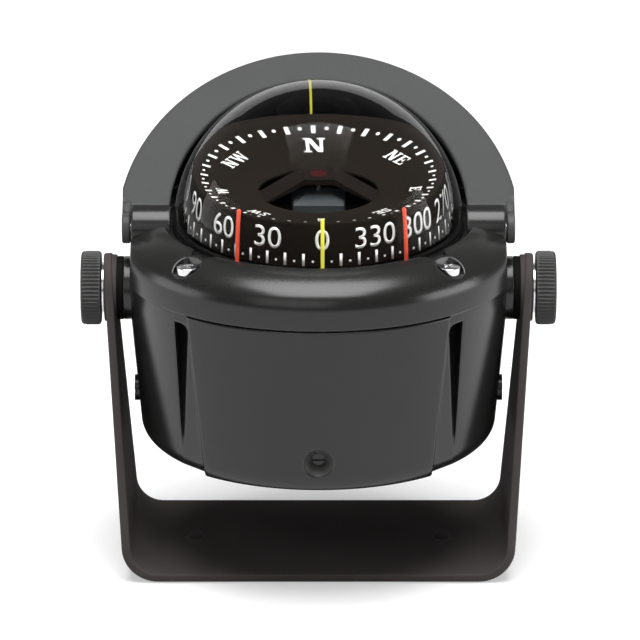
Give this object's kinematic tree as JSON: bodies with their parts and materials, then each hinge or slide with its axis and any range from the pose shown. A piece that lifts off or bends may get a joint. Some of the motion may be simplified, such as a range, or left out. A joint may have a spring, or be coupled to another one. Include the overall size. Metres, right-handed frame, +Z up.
{
  "type": "bracket-mount ship compass",
  "caption": "Black boat steering compass: round tilting housing clamped in a U bracket by knurled knobs, with a clear liquid-filled dome, a swinging hood and a gimballed reading card.",
  "frame": {"origin": "centre of the bracket's underside, midway between its two screw holes", "axes": "+Z up from the mounting surface, -Y towards the reader at the front, +X to the reader's right along the tilt axis"},
  "size_m": [0.1706, 0.1439, 0.175],
  "materials": {
    "bracket_paint": "satin black paint with a slight warm cast",
    "bright_steel": "bright stainless",
    "knob_plastic": "satin black, finely knurled",
    "case_plastic": "fine-textured satin black moulding",
    "hood_plastic": "fine-textured satin black moulding",
    "black_rubber": "matt black",
    "clear_acrylic": "clear polished",
    "brass": "machined",
    "lamp_red": "translucent red lens",
    "frame_plastic": "dull dark grey moulding",
    "lubber_yellow": "bright yellow",
    "lubber_red": "bright orange-red",
    "card_black": "matt black with white printing",
    "jewel": "polished red jewel"
  },
  "bodies": {
    "bracket": {"bracket": "bracket_paint", "knob_washers": "bright_steel"},
    "knob_left": {"knob_left": "knob_plastic", "knob_screw_left": "bright_steel"},
    "knob_right": {"knob_right": "knob_plastic", "knob_screw_right": "bright_steel"},
    "housing": {"housing": "case_plastic", "bezel": "case_plastic", "bezel_screws": "bright_steel", "friction_pads": "black_rubber", "trunnion_inserts": "brass", "dome": "clear_acrylic", "dome_gasket": "black_rubber", "capsule_bowl": "case_plastic", "capsule_seal": "black_rubber", "diaphragm": "black_rubber", "diaphragm_ring": "bright_steel", "fill_plug": "brass", "lamp_holder": "case_plastic", "lamp": "lamp_red", "cable_gland": "case_plastic", "hood_pins": "bright_steel", "pitch_pins": "brass", "rod_bearing": "case_plastic"},
    "hood": {"hood": "hood_plastic"},
    "gimbal_ring": {"gimbal_ring": "brass", "roll_pins": "bright_steel"},
    "card_frame": {"card_frame": "frame_plastic", "counterweight": "brass", "pedestal": "frame_plastic", "pivot_post": "bright_steel", "lubber_front": "lubber_yellow", "lubber_rear": "lubber_yellow", "lubbers_45": "lubber_red"},
    "card": {"card": "card_black", "card_bridge": "frame_plastic", "jewel_cup": "jewel", "card_magnets": "bright_steel"},
    "cross_rod": {"cross_rod": "brass", "cross_rod_caps": "case_plastic", "cross_rod_magnets": "bright_steel"},
    "fore_aft_rod": {"fore_aft_rod": "brass", "fore_aft_cap": "case_plastic", "fore_aft_magnet": "bright_steel"}
  },
  "joints": [
    {"name": "housing_tilt", "type": "hinge", "parent": "bracket", "child": "housing", "pos_m": [0, 0, 0.099], "axis": [1, 0, 0], "range_deg": [-90, 90]},
    {"name": "knob_left_turn", "type": "hinge", "parent": "bracket", "child": "knob_left", "pos_m": [-0.08, 0, 0.099], "axis": [-1, 0, 0], "range_deg": [0, 360]},
    {"name": "knob_right_turn", "type": "hinge", "parent": "bracket", "child": "knob_right", "pos_m": [0.08, 0, 0.099], "axis": [1, 0, 0], "range_deg": [0, 360]},
    {"name": "hood_swing", "type": "hinge", "parent": "housing", "child": "hood", "pos_m": [0, 0, 0.1215], "axis": [1, 0, 0], "range_deg": [0, 90]},
    {"name": "gimbal_pitch", "type": "hinge", "parent": "housing", "child": "gimbal_ring", "pos_m": [0, 0, 0.1175], "axis": [1, 0, 0], "range_deg": [-20, 20]},
    {"name": "gimbal_roll", "type": "hinge", "parent": "gimbal_ring", "child": "card_frame", "pos_m": [0, 0, 0.1175], "axis": [0, 1, 0], "range_deg": [-20, 20]},
    {"name": "card_heading", "type": "hinge", "parent": "card_frame", "child": "card", "pos_m": [0, 0, 0.132], "axis": [0, 0, 1], "continuous": true},
    {"name": "cross_rod_turn", "type": "hinge", "parent": "housing", "child": "cross_rod", "pos_m": [0, 0, 0.061], "axis": [1, 0, 0], "continuous": true},
    {"name": "fore_aft_rod_turn", "type": "hinge", "parent": "housing", "child": "fore_aft_rod", "pos_m": [0, 0, 0.0562], "axis": [0, 1, 0], "continuous": true}
  ]
}
